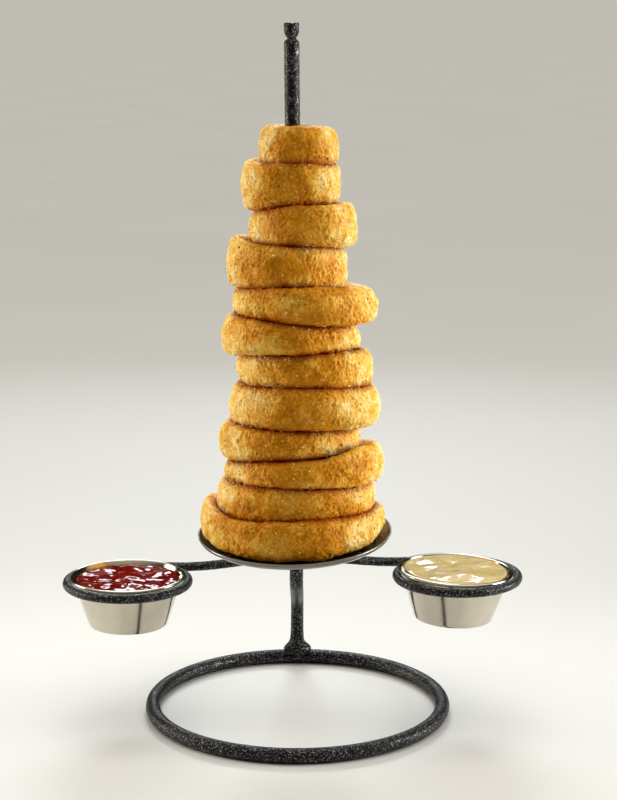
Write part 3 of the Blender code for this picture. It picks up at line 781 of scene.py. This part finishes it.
class CoatedStand(bpy.types.Operator):
    """Build the coated base ring, stem, post and cup holders"""

    bl_idname = "onion_tower.coated_stand"
    bl_label = "Coated stand"

    def execute(self, context):
        coat = hammered_powder_coat()
        deselect_all()
        x, y = BASE_CENTRE
        bpy.ops.mesh.primitive_torus_add(major_segments=256, minor_segments=16,
                                         major_radius=BASE_RADIUS * MM,
                                         minor_radius=BASE_ROD * MM,
                                         location=(x * MM, y * MM, BASE_ROD * MM))
        ring = context.active_object
        ring.name = "coated_base_ring"
        select_only(ring)
        bpy.ops.object.transform_apply(location=True, rotation=True, scale=True)
        apply_modifier(ring, "SUBSURF", levels=2, render_levels=2)
        hammer(ring)
        finish_piece(ring, coat, "coat", "base_ring")
        stem = copy_of("stem", "coated_stem")
        apply_modifier(stem, "SUBSURF", levels=1, render_levels=1)
        apply_modifier(stem, "REMESH", mode="VOXEL", voxel_size=0.45 * MM)
        apply_modifier(stem, "SMOOTH", factor=0.5, iterations=8)
        apply_modifier(stem, "DISPLACE", strength=0.25 * MM, mid_level=0.0)
        hammer(stem)
        finish_piece(stem, coat, "coat", "stem")
        # The post's sides are cut into short rings, so that they can be dimpled.
        shoulder = POST_LENGTH - POST_SHOULDER
        profile = [(0.6, POST_LENGTH)] + arc(3.0, POST_LENGTH - 0.8, 0.8, 90.0, 0.0, 3)
        profile += [(radius, POST_LENGTH - depth) for radius, depth in POST_KNOB]
        profile += [(POST_ROD, shoulder * (1.0 - k / POST_RINGS)) for k in range(POST_RINGS + 1)]
        profile += [(0.6, 0.0)]
        post = turned_piece("coated_post", profile, 36, POST_FOOT, (0.0, -POST_LEAN, 0.0))
        hammer(post)
        finish_piece(post, coat, "coat", "post")
        for side in ("left", "right"):
            holder = copy_of(f"{side}_holder", f"coated_{side}_holder")
            apply_modifier(holder, "SUBSURF", levels=3, render_levels=3)
            apply_modifier(holder, "DISPLACE", strength=0.22 * MM, mid_level=0.0)
            hammer(holder)
            finish_piece(holder, coat, "coat", f"{side}_holder")
        return {"FINISHED"}


class SteelPlate(bpy.types.Operator):
    """Build the shallow steel plate under the rings"""

    bl_idname = "onion_tower.steel_plate"
    bl_label = "Steel plate"

    def execute(self, context):
        steel = spun_steel("satin_stainless_plate", context.scene.onion_stand.plate_steel, 0.24)
        hole = POST_ROD + 0.7
        lip = PLATE_RADIUS - 0.45
        profile = [(hole, PLATE_SHEET)]
        profile += [(PLATE_RADIUS * share, PLATE_SHEET) for share in (0.3, 0.6, 0.78)]
        profile += [(PLATE_RADIUS * share, PLATE_SHEET + rise * PLATE_RISE)
                    for share, rise in PLATE_FLARE]
        profile += [(lip - 0.55, PLATE_SHEET + 0.88 * PLATE_RISE)]
        profile += arc(lip, PLATE_SHEET + PLATE_RISE - 0.42, 0.43, 130.0, -20.0, 6)
        profile += [(PLATE_RADIUS * 0.985, PLATE_SHEET + 0.45 * PLATE_RISE)]
        profile += [(PLATE_RADIUS * share, rise * PLATE_RISE) for share, rise in PLATE_BELLY]
        profile += [(hole, 0.0), profile[0]]
        plate = turned_piece("steel_plate", profile, 144, PLATE_FOOT, (PLATE_TIP, -PLATE_ROLL, 0.0))
        finish_piece(plate, steel, "plate", "plate")
        return {"FINISHED"}


class SteelCups(bpy.types.Operator):
    """Build the two spun steel dip cups"""

    bl_idname = "onion_tower.steel_cups"
    bl_label = "Steel cups"

    def execute(self, context):
        steel = spun_steel("spun_stainless_cup", context.scene.onion_stand.cup_steel, 0.13)
        rim = CUP_RIM_RADIUS - CUP_BEAD
        top = CUP_HEIGHT - CUP_BEAD
        inner_foot = CUP_FOOT_RADIUS - CUP_CORNER - CUP_WALL
        flare = (rim - CUP_BEAD - CUP_FOOT_RADIUS) / top
        profile = [(0.4, CUP_WALL), (9.0, CUP_WALL), (inner_foot, CUP_WALL)]
        profile += arc(inner_foot, CUP_WALL + CUP_CORNER, CUP_CORNER, -75.0, -15.0, 4)
        for share in (0.35, 0.6, 0.85):
            height = top * share
            profile.append((CUP_FOOT_RADIUS - CUP_WALL + flare * height, height))
        profile += arc(rim, top, CUP_BEAD, 160.0, -110.0, 12)
        profile.append((rim - CUP_BEAD, top - CUP_BEAD - 0.4))
        for share in (0.7, 0.4):
            height = top * share
            profile.append((CUP_FOOT_RADIUS + flare * height, height))
        profile += arc(CUP_FOOT_RADIUS - 1.5, 1.6, 1.6, -8.0, -90.0, 6)
        profile += [(9.0, 0.0), (0.4, 0.0)]
        for side in ("left", "right"):
            x, y, z = CUP_RIMS[side]
            tip = CUP_TIPS[side]
            foot = (x - top * math.sin(tip), y, z - top * math.cos(tip))
            cup = turned_piece(f"spun_{side}_cup", profile, 144, foot, (0.0, tip, 0.0))
            finish_piece(cup, steel, "cup", f"{side}_cup")
        return {"FINISHED"}


class Dips(bpy.types.Operator):
    """Fill the cups with stirred tomato dip and mustard dip"""

    bl_idname = "onion_tower.dips"
    bl_label = "Dips"

    def execute(self, context):
        look = context.scene.onion_dips
        red = wet_sauce("tomato_dip", look.red_deep, look.red, 7.0, 0.09, 0.24)
        yellow = wet_sauce("mustard_dip", look.yellow, look.yellow_pale, 9.0, 0.18, 0.45)
        kinds = (("left", red, "red_dip", 1.0), ("right", yellow, "yellow_dip", 1.4))
        for side, material, slot, breadth in kinds:
            dip = copy_of(f"{side}_dip", f"stirred_{side}_dip")
            apply_modifier(dip, "SUBSURF", levels=3, render_levels=3)
            points = numbers_of(dip.data.vertices, "co")
            centre = CUP_RIMS[side]
            out = np.hypot(points[:, 0] / MM - centre[0], points[:, 1] / MM - centre[1])
            upper = numbers_of(dip.data.vertices, "normal")[:, 2] > 0.3
            inner = np.clip((DIP_EDGE - out) / DIP_FADE, 0.0, 1.0)
            weigh(dip, "surface", np.where(upper, inner, 0.0))
            relief(dip, "CLOUDS", look.ridge_width * breadth, look.ridge_height, 0.5, "surface",
                   noise_depth=0)
            relief(dip, "CLOUDS", look.lump_width * breadth, look.lump_height, 0.5, "surface",
                   noise_depth=1)
            finish_piece(dip, material, slot, f"{side}_dip")
        return {"FINISHED"}


def add_softbox(name, power, place, size, spread, aim, colour):
    """Add a rectangular softbox that looks at a height over the frame's origin."""
    light = bpy.data.lights.new(name, "AREA")
    light.shape = "RECTANGLE"
    light.size, light.size_y = size
    light.energy = power
    light.color = srgb(colour)[:3]
    light.spread = math.radians(spread)
    lamp = bpy.data.objects.new(name, light)
    lamp.location = place
    way = Vector((0.0, 0.0, aim)) - Vector(place)
    lamp.rotation_euler = way.to_track_quat("-Z", "Y").to_euler()
    bpy.context.scene.collection.objects.link(lamp)


def studio_room():
    """Pale room round the floor: bright overhead and dark lower down, most of all in front."""
    world = bpy.data.worlds.new("studio")
    world.use_nodes = True
    tree = world.node_tree
    sky = tree.nodes["Background"]
    sky.inputs["Color"].default_value = srgb("#D1CEC7")
    # The dark part is what wet and polished parts reflect, so they keep dark reflections.
    way = add_node(tree, "SeparateXYZ", {0: add_node(tree, "TexCoord").outputs["Generated"]})
    depth = add_node(tree, "MapRange", {"Value": way.outputs["Y"], "From Min": -1.0,
                                        "From Max": 0.6, "To Min": 0.62, "To Max": 1.0})
    glow = add_node(tree, "MapRange", {"Value": way.outputs["Z"], "From Min": 0.45,
                                       "From Max": 0.85, "To Min": 0.02, "To Max": 2.35})
    strength = add_node(tree, "Math", {0: depth.outputs["Result"], 1: glow.outputs["Result"]},
                        operation="MULTIPLY")
    # Seen directly, the room is as pale as the far floor, so no dark band shows over it.
    seen = add_node(tree, "Mix", {0: add_node(tree, "LightPath").outputs["Is Camera Ray"],
                                  2: strength.outputs[0], 3: 0.85}, data_type="FLOAT")
    tree.links.new(seen.outputs[0], sky.inputs["Strength"])
    return world


def add_camera():
    """Add the camera at the photograph's viewing angle."""
    lens = bpy.data.cameras.new("camera")
    lens.lens = CAMERA_LENS
    lens.sensor_width = CAMERA_SENSOR
    lens.clip_start = 0.05
    lens.clip_end = FLOOR_SIZE
    camera = bpy.data.objects.new("camera", lens)
    camera.location = CAMERA_PLACE
    camera.rotation_euler = (math.pi / 2.0 - CAMERA_TILT, 0.0, 0.0)
    bpy.context.scene.collection.objects.link(camera)
    return camera


class Studio(bpy.types.Operator):
    """Set the floor, the softboxes, the room and the camera"""

    bl_idname = "onion_tower.studio"
    bl_label = "Studio"

    def execute(self, context):
        scene = context.scene
        deselect_all()
        bpy.ops.mesh.primitive_plane_add(size=FLOOR_SIZE, location=(0.0, 0.0, 0.0))
        floor = context.active_object
        floor.name = "studio_floor"
        floor.data.materials.append(studio_floor())
        for name, setting, share, place, size, spread, aim, colour in SOFTBOXES:
            power = getattr(scene.onion_studio, setting) * share
            add_softbox(name, power, place, size, spread, aim, colour)
        scene.world = studio_room()
        scene.camera = add_camera()
        scene.view_settings.view_transform = "Standard"
        return {"FINISHED"}


OPERATORS = (CrumbedRings, StuckCrumbs, CoatedStand, SteelPlate, SteelCups, Dips, Studio)
SETTINGS = (
    ("onion_crust", CrustSettings),
    ("onion_stand", StandSettings),
    ("onion_dips", DipSettings),
    ("onion_studio", StudioSettings),
)


class OnionTowerPanel(bpy.types.Panel):
    """Lists the settings and the build steps of the onion ring tower"""

    bl_idname = "VIEW3D_PT_onion_tower"
    bl_label = "Onion Ring Tower"
    bl_space_type = "VIEW_3D"
    bl_region_type = "UI"
    bl_category = "Onion Tower"

    def draw(self, context):
        for operator in OPERATORS:
            self.layout.operator(operator.bl_idname)
        for name, group in SETTINGS:
            box = self.layout.box()
            for key in group.__annotations__:
                box.prop(getattr(context.scene, name), key)


def register():
    """Register the settings, the operators and the panel."""
    for name, group in SETTINGS:
        bpy.utils.register_class(group)
        setattr(bpy.types.Scene, name, PointerProperty(type=group))
    for item in (*OPERATORS, OnionTowerPanel):
        bpy.utils.register_class(item)


def unregister():
    """Take the panel, the operators and the settings out again."""
    for item in reversed((*OPERATORS, OnionTowerPanel)):
        bpy.utils.unregister_class(item)
    for name, group in reversed(SETTINGS):
        delattr(bpy.types.Scene, name)
        bpy.utils.unregister_class(group)


def main():
    """Build every piece in order."""
    register()
    for operator in OPERATORS:
        group, name = operator.bl_idname.split(".")
        getattr(getattr(bpy.ops, group), name)()


if __name__ == "__main__":
    main()
